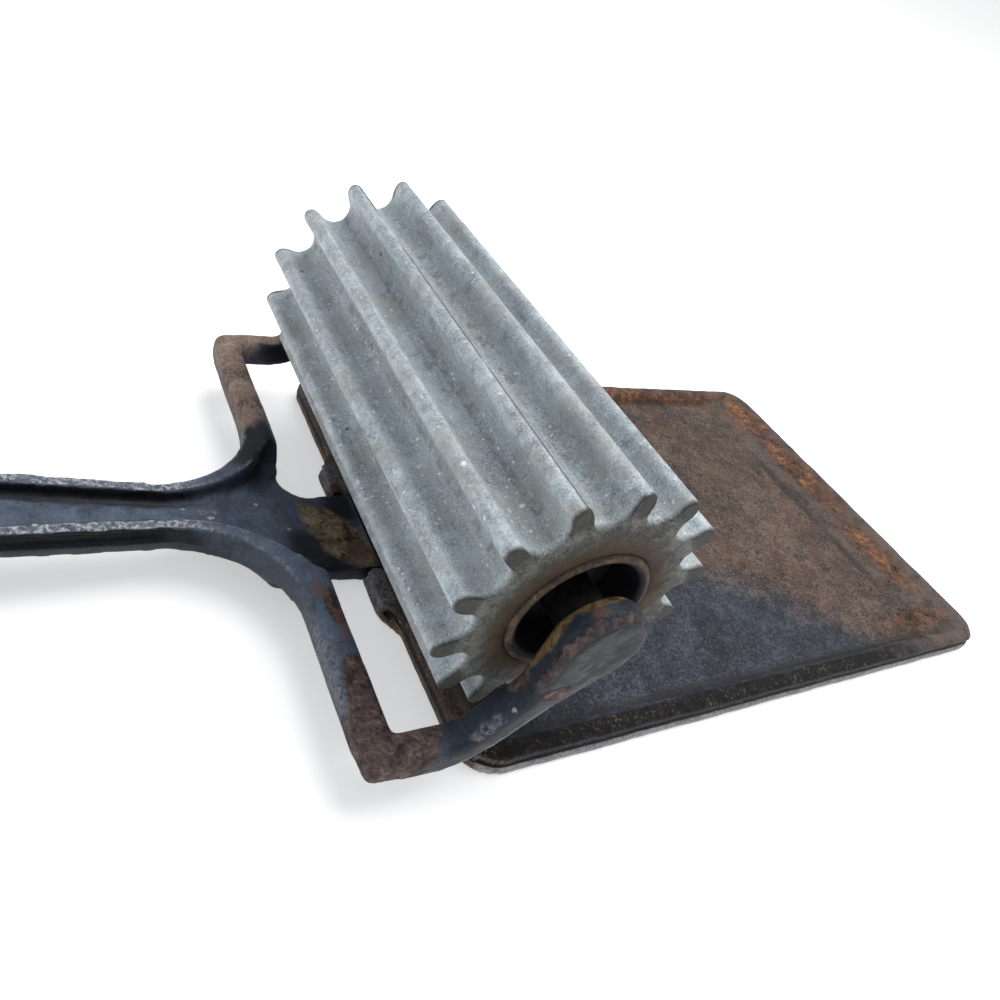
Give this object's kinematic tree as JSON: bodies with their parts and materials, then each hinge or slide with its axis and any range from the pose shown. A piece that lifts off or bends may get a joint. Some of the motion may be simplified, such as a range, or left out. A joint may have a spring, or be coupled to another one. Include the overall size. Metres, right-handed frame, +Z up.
{
  "type": "fluting iron",
  "caption": "Cast fluting iron: a ridged roller turns in a forked handle that is hinged to a shallow tray plate, for pressing flutes into starched cloth.",
  "frame": {"origin": "middle of the plate's flat underside", "axes": "+X from the handle towards the plate's free end, +Y along the roller's axis, +Z up from the surface that the plate rests on"},
  "size_m": [0.3092, 0.1028, 0.0537],
  "materials": {
    "plate_iron": "bare cast iron, brown with rust and grime",
    "yoke_iron": "black japanned cast iron, worn to brown rust on the fork",
    "pin_iron": "dark oiled iron",
    "roller_zinc": "matt grey cast zinc with stains",
    "tube_iron": "brown rusted iron"
  },
  "bodies": {
    "plate": {"base_plate": "plate_iron", "hinge_pin": "pin_iron"},
    "yoke": {"yoke_handle": "yoke_iron", "pivot_near": "pin_iron", "pivot_far": "pin_iron"},
    "roller": {"roller_shell": "roller_zinc", "roller_tube": "tube_iron", "bush_near": "tube_iron", "bush_far": "tube_iron"}
  },
  "joints": [
    {"name": "plate_hinge", "type": "hinge", "parent": "plate", "child": "yoke", "pos_m": [-0.0771, 0, 0.0023], "axis": [0, 1, 0], "range_deg": [0, 22]},
    {"name": "roller_spin", "type": "hinge", "parent": "yoke", "child": "roller", "pos_m": [-0.0659, 0, 0.03125], "axis": [0, 1, 0], "continuous": true}
  ]
}
